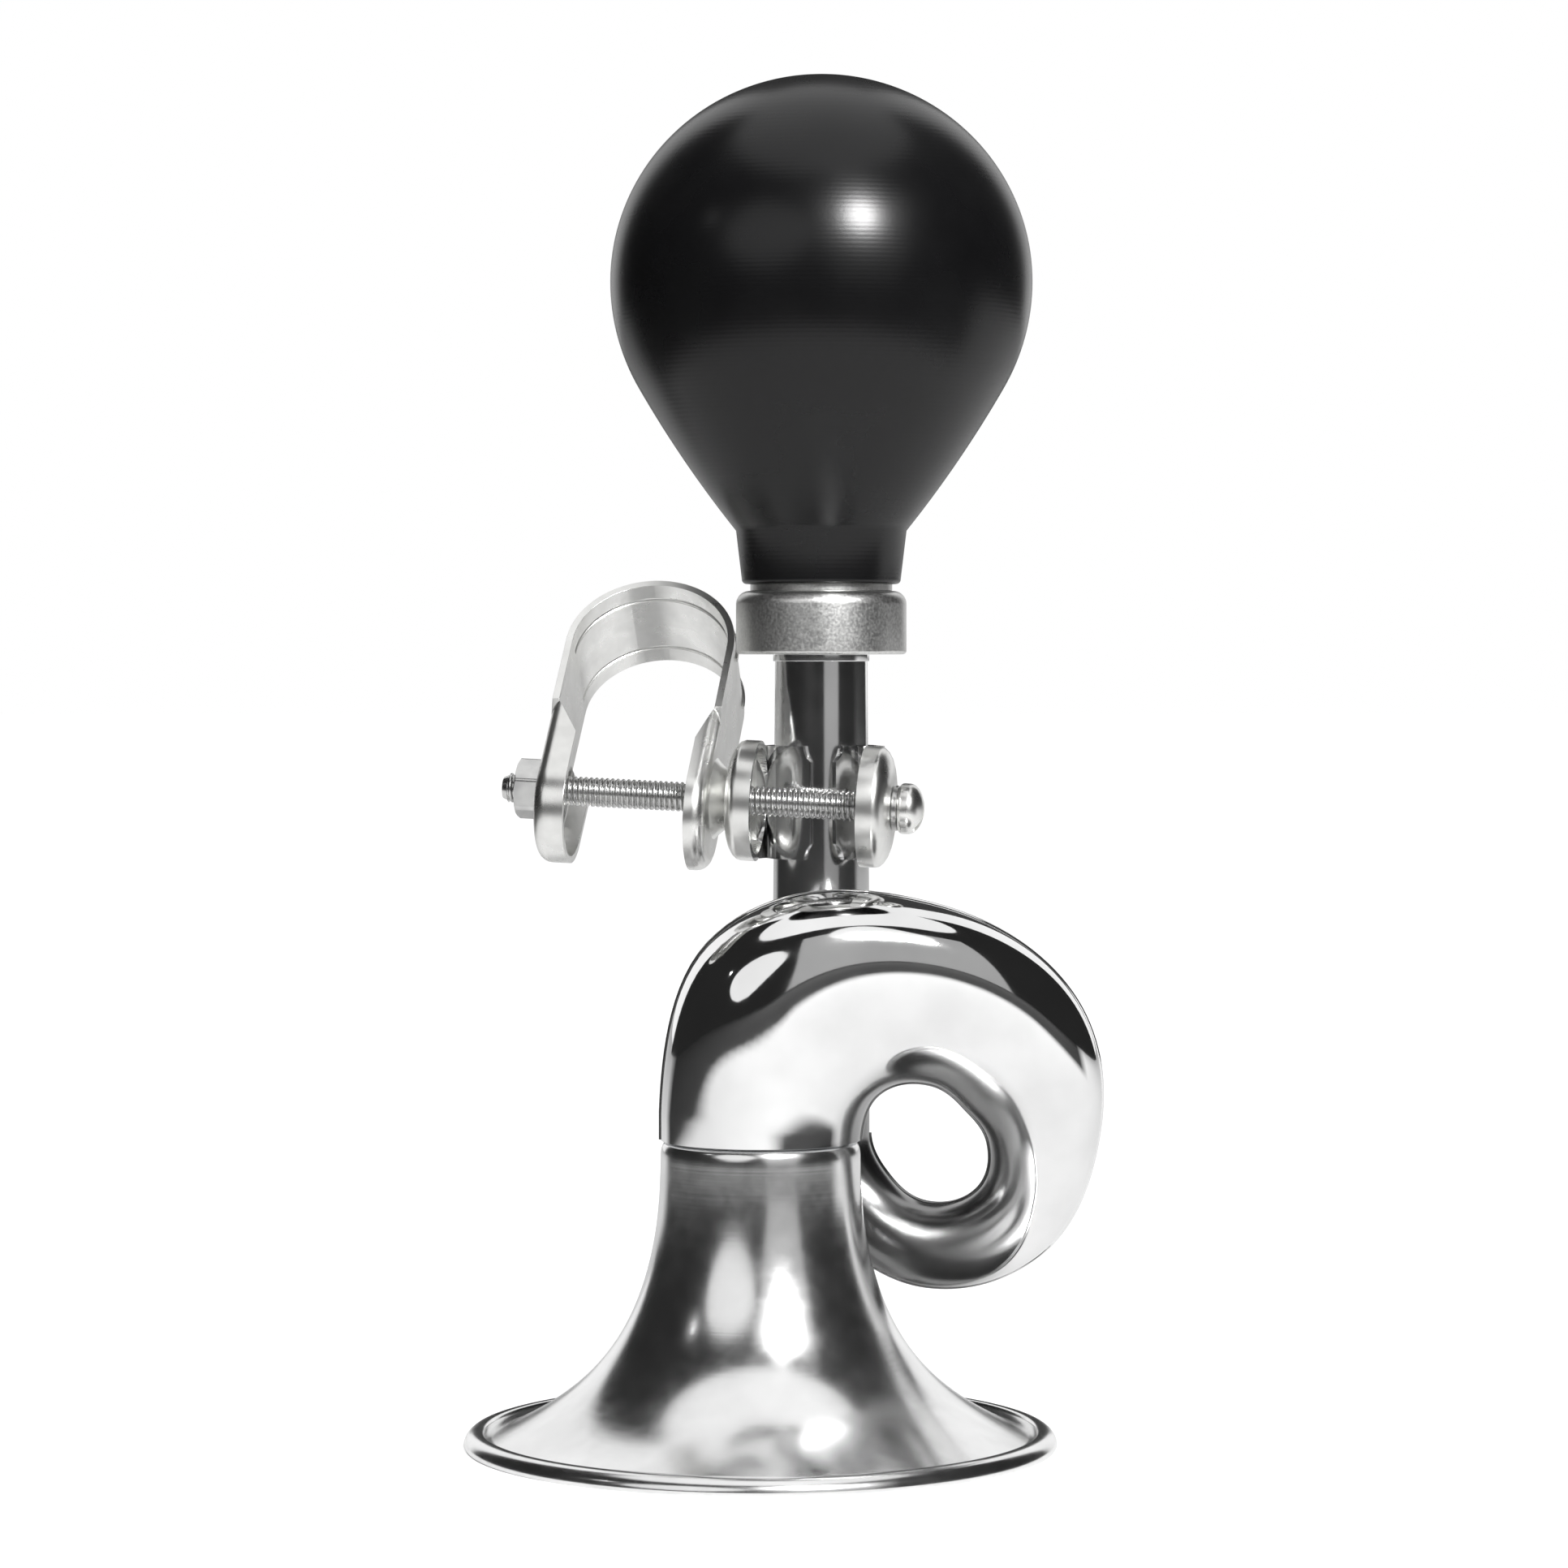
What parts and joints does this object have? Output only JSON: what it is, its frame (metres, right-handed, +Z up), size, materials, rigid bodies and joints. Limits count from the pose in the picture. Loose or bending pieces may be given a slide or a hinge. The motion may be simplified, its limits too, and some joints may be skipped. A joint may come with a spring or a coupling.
{
  "type": "bicycle bulb horn",
  "caption": "Bicycle bulb horn: a black rubber squeeze bulb, a reed, a chromed curled tube that widens to a flared bell, and a strap clamp for a handlebar.",
  "frame": {"origin": "centre of the bell's rim, on the surface that the horn stands on", "axes": "+Z up the stem towards the bulb, -Y towards the viewer, +X to the viewer's right"},
  "size_m": [0.0811, 0.0827, 0.1747],
  "materials": {
    "chrome": "polished chrome plating on thin brass or steel sheet",
    "solder": "soft solder, wiped smooth",
    "satin_nickel": "fine bead-blasted satin nickel",
    "seal": "matt sealing washer",
    "brass": "turned brass",
    "spring_brass": "thin rolled spring brass",
    "rubber": "satin black moulded rubber",
    "zinc": "bright zinc plating, slightly grained"
  },
  "bodies": {
    "horn": {"bell": "chrome", "throat_solder": "solder", "curl_front_half": "chrome", "curl_back_half": "chrome", "curl_seam_outer": "chrome", "curl_seam_inner": "chrome", "stem_solder": "solder", "stem_tube": "chrome", "stem_collar": "chrome", "ferrule": "satin_nickel"},
    "sealing_washer": {"ferrule_gasket": "seal"},
    "bulb_plug": {"bulb_plug": "brass", "reed_holder": "brass", "reed_wedge": "brass"},
    "reed_tongue": {"reed_tongue": "spring_brass"},
    "bulb": {"bulb": "rubber"},
    "tube_strap": {"tube_strap": "chrome"},
    "handlebar_strap": {"handlebar_strap": "zinc"},
    "clamp_bolt": {"clamp_bolt": "zinc", "lock_washer": "zinc"},
    "clamp_nut": {"clamp_nut": "zinc"}
  },
  "joints": [
    {"name": "plug_lift", "type": "slide", "parent": "horn", "child": "sealing_washer", "axis": [0, 0, 1], "range_m": [0, 0.004]},
    {"name": "bulb_turn", "type": "hinge", "parent": "sealing_washer", "child": "bulb_plug", "pos_m": [0.0078, 0.0179, 0.10225], "axis": [0, 0, 1], "range_deg": [0, 1440]},
    {"name": "reed_bend", "type": "hinge", "parent": "bulb_plug", "child": "reed_tongue", "pos_m": [0.0078, 0.01725, 0.0983], "axis": [1, 0, 0], "range_deg": [-1.5, 1.8], "stiffness_Nm_per_rad": 0.001},
    {"name": "bulb_squeeze", "type": "slide", "parent": "bulb_plug", "child": "bulb", "axis": [0, 0, -1], "range_m": [0, 0.014], "stiffness_N_per_m": 2500, "deforming": ["bulb"]},
    {"name": "clamp_swivel", "type": "hinge", "parent": "horn", "child": "tube_strap", "pos_m": [0.0078, 0.0179, 0.0808], "axis": [0, 0, 1], "continuous": true},
    {"name": "strap_swivel", "type": "hinge", "parent": "tube_strap", "child": "handlebar_strap", "pos_m": [-0.01675, 0.01298, 0.08191], "axis": [0.9866, -0.1563, -0.0471], "range_deg": [-52, 150]},
    {"name": "bolt_turn", "type": "hinge", "parent": "tube_strap", "child": "clamp_bolt", "pos_m": [0.00644, 0.00931, 0.0808], "axis": [0.9866, -0.1563, -0.0471], "range_deg": [0, 720]},
    {"name": "nut_travel", "type": "slide", "parent": "handlebar_strap", "child": "clamp_nut", "axis": [-0.9866, 0.1563, 0.0471], "range_m": [0, 0.0014]}
  ],
  "couplings": [
    {"joint": "bulb_turn", "follows": "plug_lift", "rad_per_m": 6283.2},
    {"joint": "bolt_turn", "follows": "nut_travel", "rad_per_m": 8976}
  ]
}
